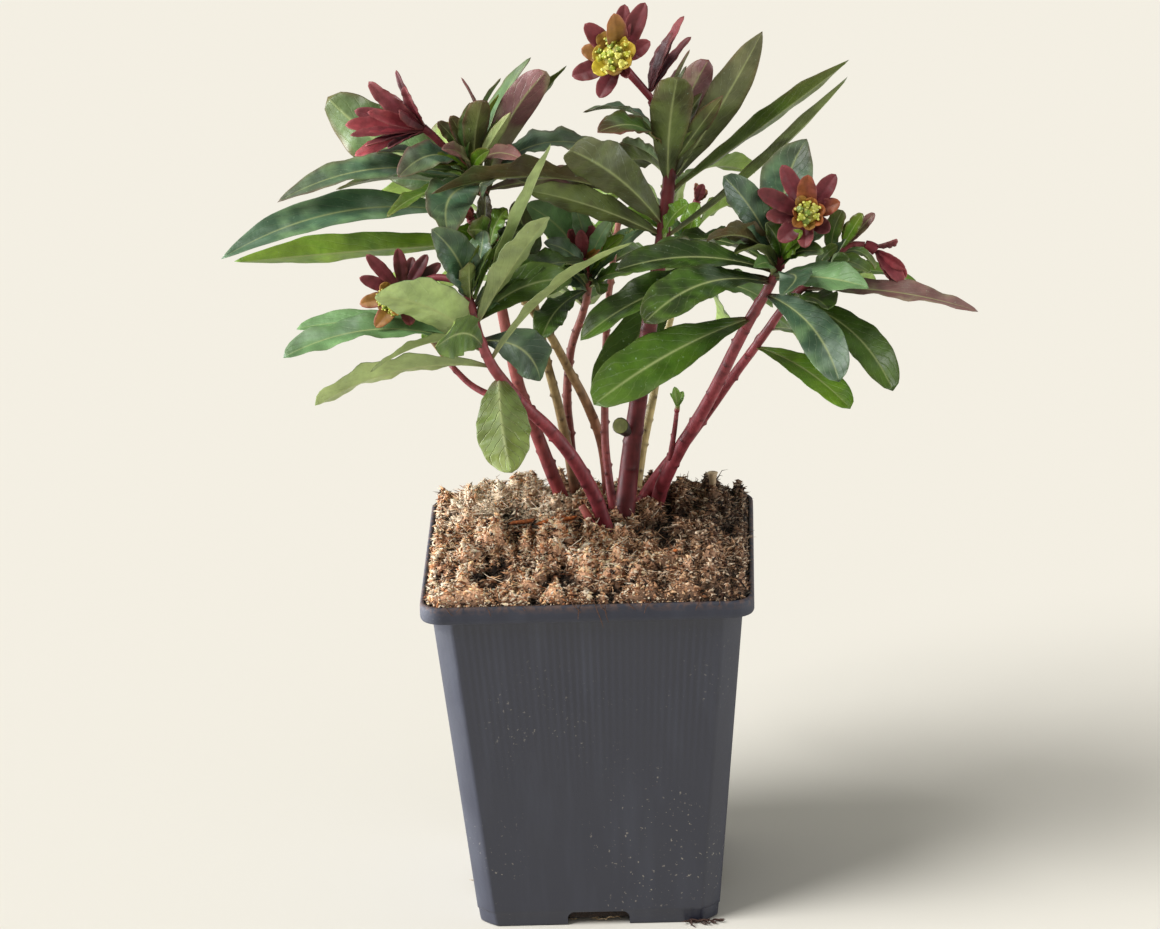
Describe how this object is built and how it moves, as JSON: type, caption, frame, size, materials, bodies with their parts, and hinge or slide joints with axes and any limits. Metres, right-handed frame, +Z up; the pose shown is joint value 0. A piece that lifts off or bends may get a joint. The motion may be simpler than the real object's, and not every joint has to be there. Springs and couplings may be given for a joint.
{
  "type": "potted euphorbia",
  "caption": "Young euphorbia with wine-red stems, whorled narrow leaves and maroon flower heads, in a square plastic nursery pot of peat.",
  "frame": {"origin": "middle of the pot underside, on the surface it stands on", "axes": "+Z up along the pot, -Y towards the front of the plant, +X to its right"},
  "size_m": [0.2024, 0.154, 0.2542],
  "materials": {
    "pot_plastic": "matte, dusty",
    "peat": "coarse, dull",
    "stem_wine": "smooth, slightly waxy",
    "leaf_green": "satin",
    "bract_maroon": "satin",
    "floret_yellow": "waxy",
    "bark_olive": "dull",
    "dry_straw": "dull"
  },
  "bodies": {
    "root": {"pot": "pot_plastic", "soil": "peat", "stem_front_left": "stem_wine", "stem_right_front": "stem_wine", "stem_centre": "stem_wine", "stem_upper_left": "stem_wine", "stem_right_back": "stem_wine", "stem_mid": "stem_wine", "stem_mid_left": "stem_wine", "stem_inner_left": "stem_wine", "stem_back_right": "stem_wine", "stem_back": "stem_wine", "shoot_front_left": "leaf_green", "shoot_right_front": "leaf_green", "shoot_centre": "leaf_green", "shoot_upper_left": "leaf_green", "shoot_right_back": "leaf_green", "shoot_mid": "leaf_green", "shoot_mid_left": "leaf_green", "shoot_inner_left": "leaf_green", "shoot_back_right": "leaf_green", "shoot_back": "leaf_green", "bloom_top": "bract_maroon", "bloom_top_eye": "floret_yellow", "bloom_right": "bract_maroon", "bloom_right_eye": "floret_yellow", "bloom_front_left": "bract_maroon", "bloom_front_left_eye": "floret_yellow", "bloom_upper_left": "bract_maroon", "bloom_far_right": "bract_maroon", "bloom_mid_left": "bract_maroon", "bloom_mid": "bract_maroon", "bloom_inner_left": "bract_maroon", "bloom_back_right": "bract_maroon", "stub_red": "stem_wine", "dry_stalk": "dry_straw", "stub_cut": "bark_olive", "sprout_right": "leaf_green", "sprout_left": "bark_olive"}
  },
  "joints": []
}
